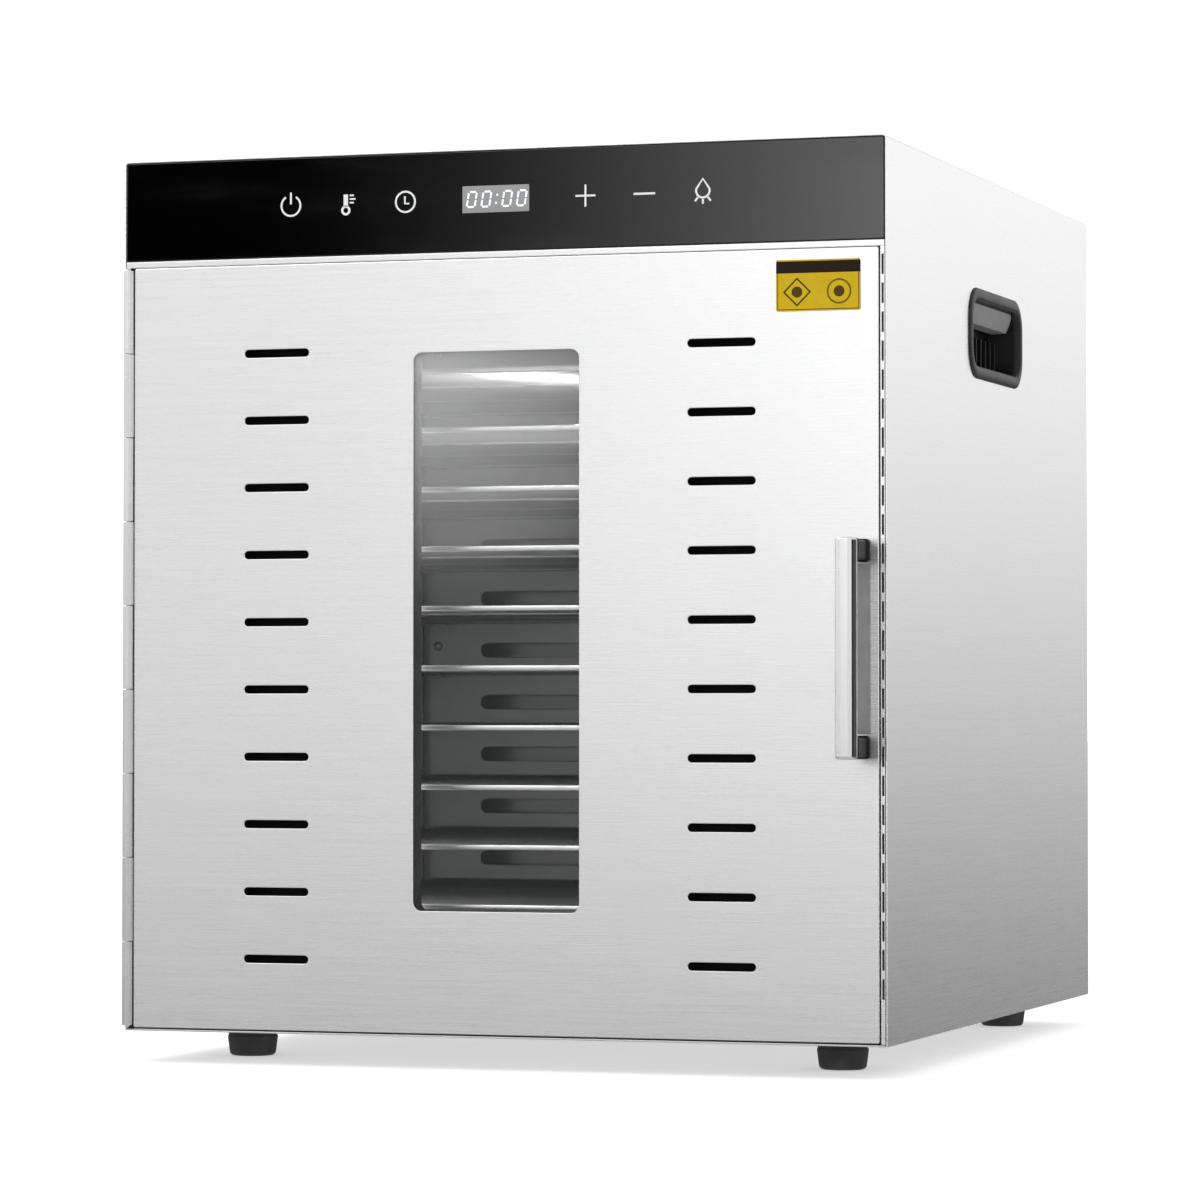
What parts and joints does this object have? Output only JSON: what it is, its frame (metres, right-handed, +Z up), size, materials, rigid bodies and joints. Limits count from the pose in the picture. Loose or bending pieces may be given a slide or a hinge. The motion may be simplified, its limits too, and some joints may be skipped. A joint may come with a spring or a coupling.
{
  "type": "food dehydrator",
  "caption": "Free-standing stainless steel cabinet food dehydrator with a left-hinged glazed and slotted door, touch panel, rear fan and heater, and sliding wire trays.",
  "frame": {"origin": "on the floor under the middle of the whole object's box, handle and rear trim included", "axes": "+Z up, -Y out of the door, +X to the right as seen from the front"},
  "size_m": [0.443, 0.537, 0.503],
  "materials": {
    "brushed_panel": "fine level-brushed stainless",
    "inner_sheet": "mill finish stainless",
    "hinge_steel": "plain bright steel",
    "handle_steel": "fine brushed stainless",
    "tray_steel": "electropolished wire",
    "black_glass": "gloss black screen-printed back",
    "clear_glass": "clear",
    "black_moulding": "satin moulded",
    "foot_rubber": "matt",
    "seal_rubber": "matt",
    "circuit_board": "epoxy board",
    "lamp_ceramic": "glazed",
    "lamp_glass": "frosted",
    "heater_sheath": "heat-darkened",
    "motor_case": "dark lacquer",
    "fan_aluminium": "satin",
    "magnet_case": "satin",
    "label_film": "printed film"
  },
  "bodies": {
    "cabinet": {"outer_shell": "brushed_panel", "base_pan": "inner_sheet", "back_panel": "brushed_panel", "rear_vent_cover": "inner_sheet", "front_frame": "brushed_panel", "panel_rail": "brushed_panel", "edge_trim": "brushed_panel", "liner_left_wall": "inner_sheet", "liner_right_wall": "inner_sheet", "liner_floor": "inner_sheet", "liner_ceiling": "inner_sheet", "liner_back": "inner_sheet", "fan_baffle": "inner_sheet", "tray_rack_left": "inner_sheet", "tray_rack_right": "inner_sheet", "foot_front_left": "foot_rubber", "foot_front_right": "foot_rubber", "foot_rear_left": "foot_rubber", "foot_rear_right": "foot_rubber", "side_grip_left": "black_moulding", "side_grip_right": "black_moulding", "control_glass": "black_glass", "control_housing": "black_moulding", "touch_board": "circuit_board", "power_board": "circuit_board", "power_inlet": "black_moulding", "lamp_holder": "lamp_ceramic", "lamp_lens": "lamp_glass", "temperature_probe": "inner_sheet", "heater_element": "heater_sheath", "fan_motor": "motor_case", "motor_bracket": "inner_sheet", "hinge_cabinet_leaf": "hinge_steel", "hinge_pin": "hinge_steel", "door_magnet": "magnet_case"},
    "door": {"door_outer_skin": "brushed_panel", "door_inner_skin": "inner_sheet", "window_glass": "clear_glass", "window_gasket": "seal_rubber", "door_seal": "seal_rubber", "hinge_door_leaf": "hinge_steel", "handle_bar": "handle_steel", "handle_post_lower": "black_moulding", "handle_post_upper": "black_moulding", "handle_screw_lower": "inner_sheet", "handle_screw_upper": "inner_sheet", "catch_plate": "inner_sheet", "care_label": "label_film"},
    "fan": {"fan_blades": "fan_aluminium", "fan_shaft": "inner_sheet"},
    "tray_01": {"tray_01": "tray_steel"},
    "tray_02": {"tray_02": "tray_steel"},
    "tray_03": {"tray_03": "tray_steel"},
    "tray_04": {"tray_04": "tray_steel"},
    "tray_05": {"tray_05": "tray_steel"},
    "tray_06": {"tray_06": "tray_steel"},
    "tray_07": {"tray_07": "tray_steel"},
    "tray_08": {"tray_08": "tray_steel"},
    "tray_09": {"tray_09": "tray_steel"},
    "tray_10": {"tray_10": "tray_steel"}
  },
  "joints": [
    {"name": "door_hinge", "type": "hinge", "parent": "cabinet", "child": "door", "pos_m": [-0.217, -0.232, 0.2315], "axis": [0, 0, -1], "range_deg": [0, 175]},
    {"name": "fan_spin", "type": "hinge", "parent": "cabinet", "child": "fan", "pos_m": [0, 0.215, 0.24], "axis": [0, 1, 0], "continuous": true},
    {"name": "tray_01_slide", "type": "slide", "parent": "cabinet", "child": "tray_01", "axis": [0, -1, 0], "range_m": [0, 0.0128]},
    {"name": "tray_02_slide", "type": "slide", "parent": "cabinet", "child": "tray_02", "axis": [0, -1, 0], "range_m": [0, 0.0256]},
    {"name": "tray_03_slide", "type": "slide", "parent": "cabinet", "child": "tray_03", "axis": [0, -1, 0], "range_m": [0, 0.0384]},
    {"name": "tray_04_slide", "type": "slide", "parent": "cabinet", "child": "tray_04", "axis": [0, -1, 0], "range_m": [0, 0.0512]},
    {"name": "tray_05_slide", "type": "slide", "parent": "cabinet", "child": "tray_05", "axis": [0, -1, 0], "range_m": [0, 0.064]},
    {"name": "tray_06_slide", "type": "slide", "parent": "cabinet", "child": "tray_06", "axis": [0, -1, 0], "range_m": [0, 0.0768]},
    {"name": "tray_07_slide", "type": "slide", "parent": "cabinet", "child": "tray_07", "axis": [0, -1, 0], "range_m": [0, 0.0896]},
    {"name": "tray_08_slide", "type": "slide", "parent": "cabinet", "child": "tray_08", "axis": [0, -1, 0], "range_m": [0, 0.1024]},
    {"name": "tray_09_slide", "type": "slide", "parent": "cabinet", "child": "tray_09", "axis": [0, -1, 0], "range_m": [0, 0.1152]},
    {"name": "tray_10_slide", "type": "slide", "parent": "cabinet", "child": "tray_10", "axis": [0, -1, 0], "range_m": [0, 0.128]}
  ],
  "couplings": [
    {"joint": "tray_01_slide", "follows": "door_hinge", "m_per_rad": 0.00419},
    {"joint": "tray_02_slide", "follows": "door_hinge", "m_per_rad": 0.008381},
    {"joint": "tray_03_slide", "follows": "door_hinge", "m_per_rad": 0.012572},
    {"joint": "tray_04_slide", "follows": "door_hinge", "m_per_rad": 0.016763},
    {"joint": "tray_05_slide", "follows": "door_hinge", "m_per_rad": 0.020953},
    {"joint": "tray_06_slide", "follows": "door_hinge", "m_per_rad": 0.025144},
    {"joint": "tray_07_slide", "follows": "door_hinge", "m_per_rad": 0.029335},
    {"joint": "tray_08_slide", "follows": "door_hinge", "m_per_rad": 0.033526},
    {"joint": "tray_09_slide", "follows": "door_hinge", "m_per_rad": 0.037716},
    {"joint": "tray_10_slide", "follows": "door_hinge", "m_per_rad": 0.041907}
  ]
}
